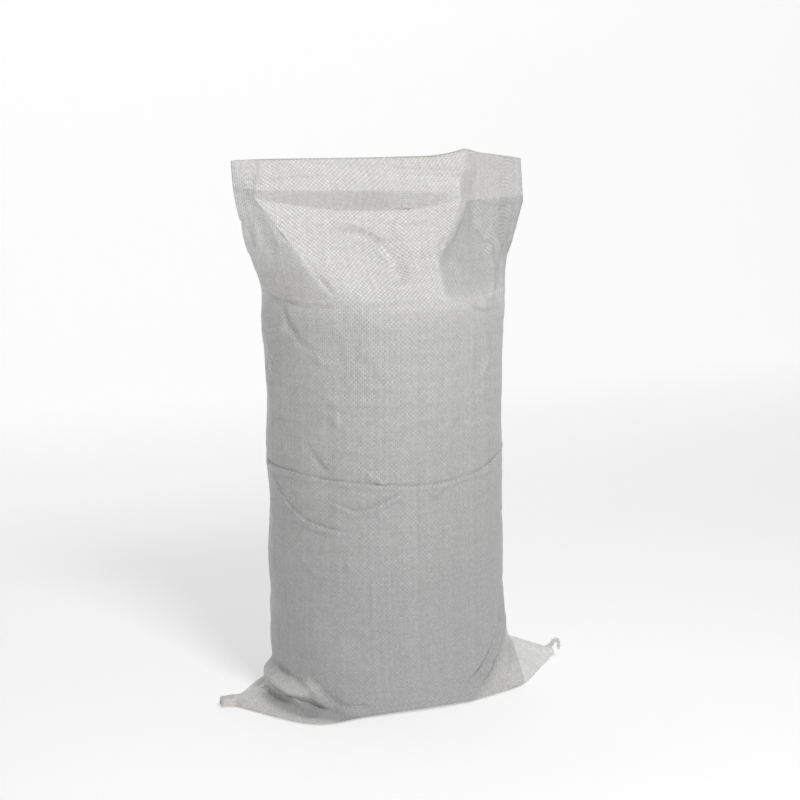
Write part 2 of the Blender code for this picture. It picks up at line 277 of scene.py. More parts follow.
def bottom_rings(count):
    """Rings from the floor up to the top of the bottom rounding."""
    edge = edge_ring()
    top = body_ring(BOTTOM_ROUND)
    flat = oval(KNEE_OUTLINE)
    flat *= 1.0 + KNEE_OUT / np.linalg.norm(flat, axis=1)[:, None]
    sides = side_of(flat[:, 0])
    heights = np.array([KNEES[s][0] for s in sides])
    runs = np.array([KNEES[s][1 if y < 0 else 2] for s, y in zip(sides, flat[:, 1])])
    nearness = np.abs(flat[:, 1]) / runs
    knee_z = EAR_EDGE + (heights - EAR_EDGE) * np.clip(1.0 - nearness, 0.0, 1.0)
    right_front = (sides > 0) & (flat[:, 1] < 0.0)
    straight_z = EAR_EDGE + RIGHT_KNEE_SLOPE * np.maximum(runs - np.abs(flat[:, 1]), 0.0)
    knee_z = np.where(right_front, np.minimum(heights, straight_z), knee_z)
    knee = np.column_stack([flat + np.array([centre_x(KNEE_OUTLINE), 0.0]), knee_z])
    beside_ear = right_front & (nearness < RIGHT_TENT_END[1])
    knee[:, 0] = np.where(beside_ear, np.maximum(knee[:, 0], RIGHT_KNEE_X), knee[:, 0])
    round_part = smoothstep(nearness, *TENT_END)
    tent = 1.0 - np.where(right_front, smoothstep(nearness, *RIGHT_TENT_END), round_part)
    lower = np.linalg.norm(knee - edge, axis=1)
    upper = np.linalg.norm(top - knee, axis=1)
    turn_share = lower / (lower + upper)
    rings = []
    for step in range(count):
        share = step / count
        below = np.clip(share / turn_share, 0.0, 1.0)[:, None]
        above = np.clip((share - turn_share) / (1.0 - turn_share), 0.0, 1.0)[:, None]
        bent = edge + (knee - edge) * below + (top - knee) * above
        turn = share * math.pi / 2.0
        mix = np.array([math.sin(turn), math.sin(turn), 1.0 - math.cos(turn)])
        round_way = edge + (top - edge) * mix
        rings.append(bent * tent[:, None] + round_way * (1.0 - tent[:, None]))
    return rings


# %% [markdown]
# The underside runs from that outline in to the seam, which lies straight under the
# middle of the sack.

# %% Shape the underside
SEAM_HALF_X = 0.226
SEAM_HALF_GAP = 0.0015
SEAM_HEIGHT = 0.0022
# the underside stays this far under the ears' edge and ends at this share of the way to it
UNDER_DROP = 0.0015
UNDER_REACH = 0.94


def under_rings(count):
    """Rings from the seam out to the edge of the ears."""
    edge = edge_ring()
    seam = np.column_stack([
        edge[:, 0] * SEAM_HALF_X / EAR_TIP_X,
        SEAM_HALF_GAP * np.sign(np.sin(ANGLES + 1e-9)),
        np.full(COLUMNS, SEAM_HEIGHT),
    ])
    flat_edge = edge.copy()
    flat_edge[:, 2] = np.minimum(edge[:, 2], EAR_EDGE) - UNDER_DROP
    return [seam + (flat_edge - seam) * UNDER_REACH * (step / (count - 1)) for step in range(count)]


# %% [markdown]
# ## The neck and the mouth
#
# The front follows its fold lines panel by panel. The back is one soft curve, because
# nothing folds it. At the mouth both lips lie on each other with a slot between.

# %% Shape the neck rings
LIP_HALF_SLOT = 0.0010
LIP_THICKNESS = 0.0006
BACK_LIP_PROUD = 0.0012
PEAK_SAG = 0.0045
PEAK_SPAN = 2
# places of these levels in a fold line
GROOVE = 3
MOUTH = 5
# how far the groove hangs below a straight line, in the spans left and right of its middle
GROOVE_SAGS = ((1, 0.0050), (2, 0.0030))


def catmull(points, position):
    """A smooth curve through points, read at a position that counts points."""
    index = int(min(max(math.floor(position), 0), len(points) - 2))
    share = position - index
    p1 = points[index]
    p2 = points[index + 1]
    p0 = points[index - 1] if index > 0 else 2.0 * p1 - p2
    p3 = points[index + 2] if index + 2 < len(points) else 2.0 * p2 - p1
    bend = (2.0 * p0 - 5.0 * p1 + 4.0 * p2 - p3) * share ** 2
    twist = (3.0 * p1 - p0 - 3.0 * p2 + p3) * share ** 3
    return 0.5 * (2.0 * p1 + (p2 - p0) * share + bend + twist)


def front_part(level):
    """The front half of a neck ring, straight from fold line to fold line."""
    corners = np.array([line[level] for line in FRONT_LINES])
    return straight(corners, SPANS[:FRONT_COUNT], SHARES[:FRONT_COUNT, None])


def sag_span(front, span, sag, power=1.0):
    """Let one span of a front ring hang down between its two fold lines."""
    shares = SHARES[:FRONT_COUNT] ** power
    front[:, 2] -= np.where(SPANS[:FRONT_COUNT] == span, sag * np.sin(math.pi * shares), 0.0)


def fold_ring(level):
    """A whole neck ring: folded front, smooth back."""
    front = front_part(level)
    for span, sag in GROOVE_SAGS if level == GROOVE else ():
        sag_span(front, span, sag)
    stations = np.array([line[level] for line in FRONT_LINES[-1:] + BACK_LINES + FRONT_LINES[:1]])
    spans, shares = span_shares(BACK_SPANS)
    back = np.array([catmull(stations, s + share) for s, share in zip(spans, shares)])
    return np.vstack([front, back])


def along_lip(lip, share):
    """The point at a share of the lip's length, from the left fold to the right one."""
    steps = np.linalg.norm(np.diff(lip, axis=0), axis=1)
    run = np.concatenate([[0.0], np.cumsum(steps)])
    return np.array([np.interp(share, run / run[-1], lip[:, k]) for k in range(3)])


def mouth_ring(offset):
    """Both lips, each set off from the middle line of the slot."""
    front = front_part(MOUTH)
    # the front lip dips before it climbs to its peak
    sag_span(front, PEAK_SPAN, PEAK_SAG, 1.4)
    lip = np.vstack([front, [FRONT_LINES[-1][MOUTH]]])
    along = np.gradient(lip, axis=0)
    ahead = np.column_stack([along[:, 1], -along[:, 0], np.zeros(len(lip))])
    ahead /= np.linalg.norm(ahead, axis=1)[:, None]
    ease = np.sin(np.linspace(0.0, math.pi, len(lip))) ** 0.3
    front = lip[:-1] + (ahead * ease[:, None] * offset)[:-1]
    back_count = COLUMNS - FRONT_COUNT
    behind = lip - ahead * ease[:, None] * offset
    behind[:, 2] += BACK_LIP_PROUD * ease
    back = [along_lip(behind, 1.0 - step / back_count) for step in range(back_count)]
    return np.vstack([front, back])


# %% [markdown]
# ## One cloth, ring by ring
#
# The rings are stacked from the seam under the bottom to the mouth, and a short way down
# again inside it, so that the lips show two layers. Rows lie close where the cloth bends
# and farther apart on the plain body.

# %% Stack the rings
BODY_TOP = 0.500
# rows in the body, closest round its middle crease: (from height, to height, rows)
BODY_ROWS = ((BOTTOM_ROUND, 0.120, 24), (0.120, 0.240, 30), (0.240, 0.345, 64), (0.345, BODY_TOP, 50))
# rows under the bottom, round its edge, in the neck's lens and band, and down in the slot
UNDER_ROWS, BOTTOM_ROWS, LENS_ROWS, BAND_ROWS, SLOT_ROWS = 9, 34, 14, 20, 5
# rows from the body's top to the shoulder, knee, groove, ridge and lip
NECK_ROWS = (13, 22, 24, LENS_ROWS, BAND_ROWS)
# the slot goes down this share of the band, and narrows to this share
SLOT_DEPTH = 0.9
SLOT_NARROWING = 0.4


def between(lower, upper, count):
    """Rings from one ring up to just under the next."""
    return [lower + (upper - lower) * (step / count) for step in range(count)]


def cloth_rings():
    knee, groove, ridge = (fold_ring(level) for level in (GROOVE - 1, GROOVE, GROOVE + 1))
    outer_lip = mouth_ring(LIP_HALF_SLOT + LIP_THICKNESS)
    inner_lip = mouth_ring(LIP_HALF_SLOT)
    deep_lip = mouth_ring(LIP_HALF_SLOT * SLOT_NARROWING) + (ridge - outer_lip) * SLOT_DEPTH
    rings = under_rings(UNDER_ROWS) + bottom_rings(BOTTOM_ROWS)
    for low, high, count in BODY_ROWS:
        rings += [body_ring(low + (high - low) * step / count) for step in range(count)]
    stops = (body_ring(BODY_TOP), shoulder_ring(), knee, groove, ridge, outer_lip)
    for lower, upper, count in zip(stops, stops[1:], NECK_ROWS):
        rings += between(lower, upper, count)
    return np.array(rings + [outer_lip] + between(inner_lip, deep_lip, SLOT_ROWS) + [deep_lip])


rings = cloth_rings()
ROWS = len(rings)
print("rows", ROWS, "quads", (ROWS - 1) * COLUMNS)

# %% [markdown]
# The weave has to follow the cloth, so each point gets its place on the flat fabric: how
# far round the tube it lies, and how far up. These are measured along the rings and along
# the columns, and later they become the UV map.

# %% Measure the flat cloth
def run_lengths(points, axis):
    steps = np.linalg.norm(np.diff(points, axis=axis), axis=2)
    pad = [(0, 0), (0, 0)]
    pad[axis] = (1, 0)
    return np.pad(np.cumsum(steps, axis=axis), pad)


def flat_cloth(points):
    """Flat width and height of every point, in metres, with the closing column added."""
    closed = np.concatenate([points, points[:, :1]], axis=1)
    across = run_lengths(closed, 1)
    half = across[:, FRONT_COUNT:FRONT_COUNT + 1]
    whole = across[:, -1:]
    front = across / half * FLAT_WIDTH
    back = FLAT_WIDTH + (across - half) / (whole - half) * FLAT_WIDTH
    column = np.arange(COLUMNS + 1)
    width = np.where(column <= FRONT_COUNT, front, back)
    up = run_lengths(closed, 0)
    waist = int(np.argmin(np.abs(points[:, 0, 2] - WAIST_HEIGHT)))
    up = up - up[waist:waist + 1] + WAIST_HEIGHT
    return width, up


FLAT_U, FLAT_V = flat_cloth(rings)
print("flat cloth", round(float(FLAT_U.max()), 3), "m round, up to height", round(float(FLAT_V.max()), 3))

# %% [markdown]
# ## Working the cloth
#
# Creases are sculpted the way a thumb would press them: each stroke follows a path over
# the cloth and pushes it out or in along its own normal, strongest on the path. A ledge is
# two strokes, one below the path and an opposite one above, which is how a sharp crosswise
# crease in full cloth looks. All paths are in millimetres.

# %% Make the sculpting tools
MM = 0.001
STROKE_DEPTH = 0.022
# cloth that faces down below this height lies on the floor, and no stroke moves it
FLOOR_LAYER = 0.006
FLOOR_GAP = 0.0003


def cloth_normals(points):
    across = np.roll(points, -1, axis=1) - np.roll(points, 1, axis=1)
    up = np.gradient(points, axis=0)
    normals = np.cross(across, up)
    return normals / np.maximum(np.linalg.norm(normals, axis=2, keepdims=True), 1e-12)


def stroke(points, path, push, width, taper=0.2, shift=0.0, power=2.0, front_only=False):
    """Push the cloth by push millimetres along a path, over a half width in millimetres.

    With front_only the layer that faces backwards stays as it is, which matters where two
    layers lie close.
    """
    path = np.array(path, dtype=float) * MM
    path[:, 2] += shift * MM
    width *= MM
    steps = np.linalg.norm(np.diff(path, axis=0), axis=1)
    starts = np.concatenate([[0.0], np.cumsum(steps)])
    margin = 2.5 * width + STROKE_DEPTH
    near = np.all((points > path.min(0) - margin) & (points < path.max(0) + margin), axis=2)
    normals = cloth_normals(points)
    near &= (points[:, :, 2] > FLOOR_LAYER) | (normals[:, :, 2] > -0.5)
    if front_only:
        near &= normals[:, :, 1] < 0.1
    spots = points[near]
    normals = normals[near]
    best = np.full(len(spots), 1e9)
    run = np.zeros(len(spots))
    for index, (start, end) in enumerate(zip(path, path[1:])):
        along = end - start
        share = np.clip((spots - start) @ along / (along @ along), 0.0, 1.0)
        away = spots - start - share[:, None] * along
        depth = np.sum(away * normals, axis=1)
        side = np.linalg.norm(away - normals * depth[:, None], axis=1)
        side = np.where(np.abs(depth) < STROKE_DEPTH, side, 1e9)
        closer = side < best
        run = np.where(closer, (starts[index] + share * steps[index]) / starts[-1], run)
        best = np.where(closer, side, best)
    fade = smoothstep(run, 0.0, taper) * smoothstep(1.0 - run, 0.0, taper) if taper else 1.0
    amount = push * MM * fade * np.exp(-np.minimum(best / width, 9.0) ** power)
    points[near] = spots + normals * amount[:, None]


def broad(points, path, push, width, taper, **options):
    """A stroke with a flat top and steep sides."""
    stroke(points, path, push, width, taper, power=4.0, **options)


def ledge(points, path, proud, width, taper, **options):
    stroke(points, path, -0.7 * proud, 0.8 * width, taper, 0.6 * width, **options)
    stroke(points, path, proud, width, taper, -0.6 * width, **options)


def press(points, folds, **options):
    """Work through a table of folds, each with its tool, push, half width, taper and path."""
    for tool, push, width, taper, path in folds.values():
        tool(points, path, push, width, taper, **options)
    print("pressed:", ", ".join(folds))


def relax(points, passes, weight):
    """Ease every point towards its four neighbours, by a weight for each point."""
    for _ in range(passes):
        inner = points[1:-1]
        mean = points[2:] + points[:-2] + np.roll(inner, 1, axis=1) + np.roll(inner, -1, axis=1)
        points[1:-1] = inner + (mean / 4.0 - inner) * weight[1:-1, :, None]


# %% [markdown]
# Before any crease is pressed in, the straight panels are eased a little, because woven
# tape bends over a radius of a few millimetres. The side folds and the lips stay crisp.

# %% Ease the panels
EASE = 0.5
# the share of that which is left near the ridge and the groove, and on the right ear
EASE_AT_RIDGE = 0.10
EASE_AT_EAR = 0.15
# the rows of both lips, with the two below the outer one
LIP_ROWS = 9


def easing_weight():
    weight = np.full((ROWS, COLUMNS), EASE)
    column = np.arange(COLUMNS)
    from_fold = np.minimum(np.minimum(column, COLUMNS - column), np.abs(column - FRONT_COUNT))
    height = rings[:, 0, 2]
    crisp = (height > 0.60) | (height < 0.03)
    weight[crisp] *= smoothstep(from_fold, 0.0, 5.0)
    lip = ROWS - LIP_ROWS
    weight[lip:] = 0.0
    weight[:UNDER_ROWS + 1] = 0.0
    ridge = lip - BAND_ROWS
    before_spine = column < sum(FRONT_SPANS[:3])
    for row in (ridge, ridge - LENS_ROWS):
        weight[row - 3:row + 4, before_spine] *= EASE_AT_RIDGE
    right_ear = (rings[:, :, 0] > 0.125) & (rings[:, :, 1] < 0.0) & (rings[:, :, 2] < 0.055)
    weight[right_ear] *= EASE_AT_EAR
    return weight


EASING = easing_weight()
cloth = rings.copy()
relax(cloth, 3, EASING)
print("eased by up to mm", round(float(np.abs(cloth - rings).max()) / MM, 1))

# %% [markdown]
# Fifty kilos of powder never settle quite evenly, so the full part gets shallow lumps. The
# cloth over it is also finely crumpled: ridged noise gives thin broken crease lines.

# %% Add lumps and crumples
LUMP_SIZE = 0.080
LUMP_HEIGHT = 0.0042
CRUMPLE_SIZE = 0.030
CRUMPLE_HEIGHT = 0.0024
NECK_CRUMPLING = 1.7
BODY_FROM, BODY_TO = 0.03, 0.52
# dimension, lacunarity, octaves, offset and gain of the ridged noise, and about its mean
RIDGES = (1.0, 2.1, 3, 1.0, 1.6)
RIDGE_MEAN = 1.2


def noise_field(points, size, ridged):
    """Noise at every point, about -1 to 1, in lumps or ridges of a size in metres."""
    flat = points.reshape(-1, 3) / size
    if ridged:
        values = [noise.ridged_multi_fractal(Vector(p), *RIDGES) - RIDGE_MEAN for p in flat]
    else:
        values = [noise.noise(Vector(p)) for p in flat]
    return np.array(values).reshape(points.shape[:2])


body = smoothstep(cloth[:, :, 2], BODY_FROM, 0.08) * smoothstep(cloth[:, :, 2], BODY_TO + 0.04, BODY_TO)
neck = smoothstep(cloth[:, :, 2], 0.545, 0.60)
neck[ROWS - LIP_ROWS - BAND_ROWS - LENS_ROWS - 5:] = 0.0
lumps = noise_field(cloth, LUMP_SIZE, ridged=False) * body * LUMP_HEIGHT
crumpled = np.maximum(body, NECK_CRUMPLING * neck)
crumples = noise_field(cloth, CRUMPLE_SIZE, ridged=True) * crumpled * CRUMPLE_HEIGHT
cloth += cloth_normals(cloth) * (lumps + crumples * 0.5)[:, :, None]
print("lumps up to mm", round(float(np.abs(lumps).max()) / MM, 1),
      "crumples up to mm", round(float(np.abs(crumples).max()) / MM / 2, 1))

# %% [markdown]
# ## The body's creases
#
# A sack that was folded in transport keeps a crosswise crease round its middle. Smaller
# arcs hang from it on the left, and the shoulder has a broken crease where the powder ends.

# %% Press the body's creases
# name: (tool, push, half width, taper, path)
BODY_FOLDS = {
    "middle crease": (ledge, 3.0, 2.6, 0.0, (
        (-171, 12, 326), (-171, -16, 323), (-152, -62, 321), (-122, -92, 316), (-65, -119, 311),
        (-14, -126, 307), (29, -122, 309), (78, -104, 314), (119, -71, 326), (146, 0, 336),
        (130, 70, 328), (60, 112, 316), (-20, 122, 312), (-100, 104, 318), (-160, 50, 326))),
    "right band": (stroke, 2.4, 6.0, 0.2, ((70, -106, 306), (100, -88, 314), (124, -64, 328))),
    "left arc": (ledge, 3.8, 3.4, 0.2, (
        (-171, -6, 316), (-168, -30, 290), (-160, -46, 274), (-146, -68, 260), (-118, -94, 252),
        (-92, -108, 250))),
    "small arc": (ledge, 3.2, 3.2, 0.2, (
        (-132, -84, 300), (-118, -94, 288), (-98, -107, 278), (-78, -115, 281), (-52, -122, 293),
        (-30, -124, 302))),
    "left dent": (stroke, -3.4, 3.4, 0.2, ((-146, -68, 362), (-136, -80, 342), (-124, -90, 324))),
    "left shoulder": (ledge, -2.6, 3.4, 0.2, (
        (-178, -8, 560), (-172, -28, 549), (-162, -50, 545), (-152, -63, 539), (-140, -77, 536),
        (-124, -90, 538), (-100, -104, 538))),
    "middle shoulder": (ledge, -2.2, 3.2, 0.2, (
        (-64, -117, 540), (-52, -120, 542), (-30, -122, 544), (0, -124, 545))),
    "right shoulder": (ledge, -2.4, 3.4, 0.2, (
        (50, -112, 539), (71, -106, 528), (83, -100, 523), (99, -89, 524), (126, -62, 524))),
}
press(cloth, BODY_FOLDS)

# %% [markdown]
# Short broken wrinkles cross the full cloth, most of them on the left side.

# %% Press the short wrinkles
WRINKLE_STRENGTH = 2.4
WRINKLE_HALF_WIDTH = 3.6
# (push, path)
WRINKLES = (
    (2.0, ((-174, -4, 492), (-169, -31, 501), (-162, -48, 506))),
    (2.0, ((-172, -16, 472), (-173, -3, 455), (-172, -13, 436))),
    (1.4, ((-139, -77, 475), (-129, -86, 466), (-118, -95, 463))),
    (-1.1, ((-167, -37, 541), (-162, -48, 515), (-150, -64, 488), (-133, -83, 481))),
    (1.0, ((-172, -4, 240), (-166, -32, 228), (-158, -52, 236))),
    (1.1, ((-150, -70, 205), (-141, -80, 192), (-128, -92, 188))),
    (0.9, ((-168, -28, 132), (-160, -48, 122), (-146, -70, 120))),
    (1.0, ((118, -72, 250), (126, -62, 226), (136, -48, 212))),
    (1.0, ((60, -113, 372), (84, -101, 380), (104, -87, 377))),
    (0.8, ((-46, -123, 176), (-22, -125, 181), (4, -125, 177))),
    (0.8, ((-90, -110, 440), (-68, -118, 436), (-44, -122, 441))),
    (1.2, ((-133, -83, 404), (-121, -92, 401), (-109, -101, 399))),
    (1.0, ((-118, -95, 400), (-111, -100, 391))),
    (1.2, ((-171, -17, 395), (-165, -39, 397), (-158, -52, 392))),
    (0.9, ((-120, -93, 358), (-103, -104, 357), (-84, -113, 356))),
    (1.2, ((-82, -114, 329), (-70, -118, 320), (-58, -121, 313))),
    (1.6, ((5, -125, 290), (15, -124, 301), (26, -122, 311))),
    (1.2, ((49, -116, 270), (75, -105, 272), (104, -87, 277))),
    (1.6, ((98, -90, 468), (90, -96, 451), (81, -102, 434))),
    (1.2, ((-165, -34, 184), (-161, -43, 170), (-155, -53, 160))),
    (1.0, ((-105, -101, 215), (-98, -105, 200))),
    (1.0, ((-13, -126, 397), (-6, -126, 394), (-1, -126, 398))),
    (0.9, ((28, -122, 395), (40, -119, 391))),
    (-0.5, ((15, -122, 531), (10, -124, 468), (13, -124, 392), (11, -125, 314))),
    (-0.4, ((-16, -126, 343), (-17, -126, 291), (-15, -125, 212))),
)
for push, path in WRINKLES:
    stroke(cloth, path, WRINKLE_STRENGTH * push, WRINKLE_HALF_WIDTH)
print("pressed:", len(WRINKLES), "short wrinkles")

# %% [markdown]
# ## The neck's creases
#
# The left panel lies over the front one, so its edge stands proud and a soft hollow runs
# beside it. A sharp spine comes down from the peak of the mouth, and the cloth beside it
# breaks into smaller facets where it twists towards the right fold.

# %% Press the neck's creases
NECK_FOLDS = {
    "blister": (broad, 4.5, 24.0, 0.2, ((-22, -44, 636), (0, -54, 622), (22, -66, 609))),
    "soft wave": (ledge, -7.5, 9.5, 0.3, (
        (-114, -59, 628), (-92, -58, 630), (-74, -58, 629), (-58, -60, 624), (-46, -63, 616),
        (-38, -69, 605), (-32, -77, 593))),
    "pleat": (stroke, 0.6, 3.0, 0.1, (
        (-203, -50, 671), (-183, -64, 638), (-169, -74, 616), (-150, -86, 591), (-132, -91, 568),
        (-118, -95, 548))),
    "pleat hollow": (stroke, -3.6, 4.0, 0.1, (
        (-196, -54, 662), (-176, -68, 630), (-152, -84, 598), (-128, -92, 566), (-114, -98, 548))),
    "spine": (stroke, 3.4, 4.0, 0.1, (
        (92, -24, 658), (78, -39, 639), (61, -58, 622), (50, -67, 613), (23, -84, 596))),
    "spine foot": (stroke, 2.0, 3.5, 0.2, ((23, -84, 596), (4, -86, 588), (-14, -87, 586))),
    "valley": (stroke, -7.0, 12.0, 0.2, (
        (-44, -58, 620), (-38, -65, 610), (-30, -81, 589), (-33, -108, 560))),
    "right valley": (stroke, -5.0, 6.5, 0.2, ((104, -16, 639), (115, -22, 620), (129, -21, 605))),
    "rope": (stroke, 0.8, 3.0, 0.2, (
        (84, -28, 662), (118, -4, 657), (140, 8, 651), (170, 24, 650), (198, 40, 652))),
    "right fold": (stroke, -2.0, 5.5, 0.3, (
        (100, -15, 658), (129, 2, 650), (157, 16, 639), (197, 40, 646))),
    "small peak": (stroke, 2.6, 3.6, 0.2, ((84, -68, 578), (71, -82, 567), (83, -80, 560))),
    "fin": (stroke, 5.0, 6.0, 0.1, (
        (128, -21, 606), (119, -45, 578), (110, -68, 552), (101, -84, 533))),
    "fin hollow": (stroke, -8.0, 9.0, 0.2, (
        (158, -8, 592), (148, -26, 570), (132, -52, 548), (112, -76, 530))),
    "band stripe": (stroke, 2.8, 3.4, 0.4, (
        (-95, -42, 698), (-60, -37, 701), (-26, -34, 701), (24, -30, 698), (75, -23, 694),
        (88, -20, 696), (122, 3, 690), (160, 23, 682))),
    "band stripe's left end": (stroke, 2.6, 3.2, 0.4, (
        (-212, -48, 700), (-180, -50, 696), (-140, -48, 699), (-100, -44, 697))),
    "left facet": (stroke, -1.4, 5.0, 0.2, ((-228, -41, 676), (-218, -44, 675), (-207, -49, 676))),
    "lens rim": (stroke, 2.0, 3.2, 0.2, (
        (-190, -52, 663), (-158, -50, 656), (-114, -47, 649), (-71, -44, 645), (-27, -40, 643),
        (26, -40, 646), (70, -40, 653))),
    "band crumple": (stroke, 2.2, 3.2, 0.2, ((59, -26, 694), (65, -29, 684), (57, -36, 673))),
    "second crumple": (stroke, 2.2, 3.2, 0.2, ((71, -22, 696), (78, -26, 686), (81, -30, 673))),
}
press(cloth, NECK_FOLDS, front_only=True)

# %% [markdown]
# ## The bottom's folds
#
# Slack cloth hangs over the left ear in a soft roll, with a hollow under it. On the right
# the cloth is pulled into long folds that run down towards the ear.

# %% Press the bottom's folds
BOTTOM_FOLDS = {
    "roll": (broad, 12.0, 11.0, 0.25, (
        (-166, 40, 40), (-173, 10, 38), (-176, -22, 33), (-170, -40, 31), (-163, -51, 27),
        (-153, -63, 22), (-146, -72, 18))),
    "roll hollow": (stroke, -8.0, 7.0, 0.28, (
        (-186, 21, 17), (-184, -3, 17), (-179, -26, 15), (-170, -47, 13), (-161, -65, 11),
        (-151, -79, 10), (-140, -88, 9), (-124, -97, 7))),
    "inner crease": (stroke, -5.0, 4.0, 0.2, (
        (-174, -6, 52), (-171, -36, 48), (-164, -57, 42), (-158, -64, 34), (-153, -67, 27))),
    "second roll": (stroke, 4.5, 8.0, 0.2, (
        (-157, -58, 52), (-150, -74, 40), (-138, -84, 25), (-124, -94, 14))),
    "outer crease": (stroke, -4.0, 3.4, 0.2, (
        (-154, -59, 63), (-148, -70, 53), (-139, -84, 42), (-124, -89, 28), (-114, -95, 19),
        (-98, -101, 17), (-66, -107, 17))),
    "roll nose": (stroke, 2.0, 6.0, 0.2, (
        (-158, -57, 27), (-150, -67, 22), (-143, -76, 18), (-133, -87, 15), (-120, -96, 13))),
    "right fold": (ledge, -7.5, 7.5, 0.3, (
        (146, -46, 146), (134, -62, 118), (118, -80, 90), (104, -91, 70), (90, -100, 53),
        (70, -108, 38), (46, -117, 26))),
    "fold below it": (ledge, -7.5, 6.5, 0.3, (
        (150, -44, 98), (137, -62, 74), (122, -78, 56), (104, -93, 36), (88, -102, 22),
        (74, -106, 14))),
    "fold at the corner": (ledge, -4.0, 5.0, 0.2, (
        (150, -44, 62), (145, -56, 44), (136, -72, 28), (128, -82, 19))),
    "ear line": (stroke, 1.6, 2.4, 0.05, (
        (160, -30, 50), (160.5, -49, 35), (160.5, -66, 13), (160, -79, 3))),
}
ROLL_END = (-0.160, -0.071, 0.012)
ROLL_END_SIZE = 0.026

press(cloth, BOTTOM_FOLDS)
relax(cloth, 1, EASING)
near_end = 1.0 - smoothstep(np.linalg.norm(cloth - ROLL_END, axis=2), 0.6 * ROLL_END_SIZE, ROLL_END_SIZE)
relax(cloth, 4, EASING * near_end)
# nothing reaches below the floor
cloth[:, :, 2] = np.maximum(cloth[:, :, 2], FLOOR_GAP)

# %% [markdown]
# ## From rings to a mesh
#
# The cloth starts as one flat grid, like the fabric on the loom. Its points are moved to
# their worked places, the two side edges are merged into a tube, and the seam and the
# slot between the lips are filled, so that the mesh is closed.

# %% Make the woven sack
def select_only(piece):
    bpy.ops.object.select_all(action="DESELECT")
    piece.select_set(True)
    bpy.context.view_layer.objects.active = piece


def select_vertices(piece, chosen):
    """Select some vertices of a piece by a true or false for each, and nothing else."""
    bpy.ops.object.mode_set(mode="EDIT")
    bpy.ops.mesh.select_mode(type="VERT")
    bpy.ops.mesh.select_all(action="DESELECT")
    bpy.ops.object.mode_set(mode="OBJECT")
    piece.data.vertices.foreach_set("select", chosen)
    bpy.ops.object.mode_set(mode="EDIT")


def closed_tube(name, points, width, along):
    """A grid moved to its places, merged into a tube and filled at both of its ends."""
    rows, columns = points.shape[:2]
    bpy.ops.mesh.primitive_grid_add(x_subdivisions=columns, y_subdivisions=rows - 1, size=1.0)
    piece = bpy.context.object
    piece.name = name
    mesh = piece.data
    mesh.name = name
    closed = np.concatenate([points, points[:, :1]], axis=1)
    mesh.vertices.foreach_set("co", closed.reshape(-1))
    corner_points = np.empty(len(mesh.loops), dtype=np.int32)
    mesh.loops.foreach_get("vertex_index", corner_points)
    flat = np.column_stack([width.reshape(-1), along.reshape(-1)])
    mesh.uv_layers[0].data.foreach_set("uv", flat[corner_points].reshape(-1))

    column = np.tile(np.arange(columns + 1), rows)
    select_vertices(piece, (column == 0) | (column == columns))
    bpy.ops.mesh.remove_doubles(threshold=0.00002)
    bpy.ops.mesh.select_all(action="DESELECT")
    bpy.ops.mesh.select_non_manifold()
    bpy.ops.mesh.fill()
    bpy.ops.mesh.select_all(action="SELECT")
    bpy.ops.mesh.normals_make_consistent(inside=False)
    bpy.ops.object.mode_set(mode="OBJECT")
    bpy.ops.object.shade_smooth()
    print(name, "faces", len(mesh.polygons), "points", len(mesh.vertices))
    return piece


def plain_tube(name, points):
    """A closed tube with the lengths round it and along it as its map."""
    closed = np.concatenate([points, points[:, :1]], axis=1)
    return closed_tube(name, points, run_lengths(closed, 1), run_lengths(closed, 0))


sack = closed_tube("sack_cloth", cloth, FLAT_U, FLAT_V)

# %% [markdown]
# ## The hem's two ends
#
# The bottom is folded over twice before it is sewn, so the seam comes out at each ear as a
# small thick end of rolled cloth, nearly shut. The left one is flat and low. The right one
# is gathered in ribs by the pulled thread, and it tilts up with the ear.

# %% Make the hem's ends
ROLL_SIDES = 56
# share of the length and scale of the section, first on the outside and then inside
ROLL_STATIONS = ((0.0, 0.55), (0.25, 0.80), (0.45, 0.97), (0.6, 1.02), (0.75, 0.98), (0.9, 1.0),
                 (0.96, 0.98), (0.99, 0.86), (1.0, 0.68), (0.995, 0.50), (0.985, 0.34), (0.975, 0.18))
# name, start, end, half sizes at both, ribs and their depth
HEM_ENDS = (
    ("left_hem_end", (-208, 0, 8.3), (-245, 1, 7.6), (12.0, 7.0), (8.0, 6.0), 3, 0.10),
    ("right_hem_end", (206, -3, 8.4), (239, 0, 16.5), (14.0, 13.0), (6.5, 6.2), 9, 0.08),
)


def rolled_end(start, end, half_start, half_end, ribs, rib_depth):
    """Rings of a cloth roll: out along it, over its rounded end and back into a small dent."""
    start, end = Vector(start) * MM, Vector(end) * MM
    along = (end - start).normalized()
    across = along.cross(Vector((0.0, 0.0, 1.0))).normalized()
    up = across.cross(along)
    rings = []
    for share, scale in ROLL_STATIONS:
        middle = start.lerp(end, share)
        half_y, half_z = ((a + (b - a) * share) * MM * scale for a, b in zip(half_start, half_end))
        ring = []
        for step in range(ROLL_SIDES):
            turn = 2.0 * math.pi * step / ROLL_SIDES
            wave = 1.0 + rib_depth * math.cos(ribs * turn + 2.0 * share)
            corner = (abs(math.cos(turn)) ** 3 + abs(math.sin(turn)) ** 3) ** (-1.0 / 3.0)
            ring.append(middle + across * (half_y * wave * corner * math.cos(turn))
                        + up * (half_z * wave * corner * math.sin(turn)))
        rings.append(ring)
    return np.array(rings)


hem_ends = [plain_tube(name, rolled_end(*form)) for name, *form in HEM_ENDS]

# %% [markdown]
# ## The sewing thread
#
# A bag closer sews one long chain stitch: each loop is caught by the next one. One loop is
# modelled and repeated along the seam under the sack.

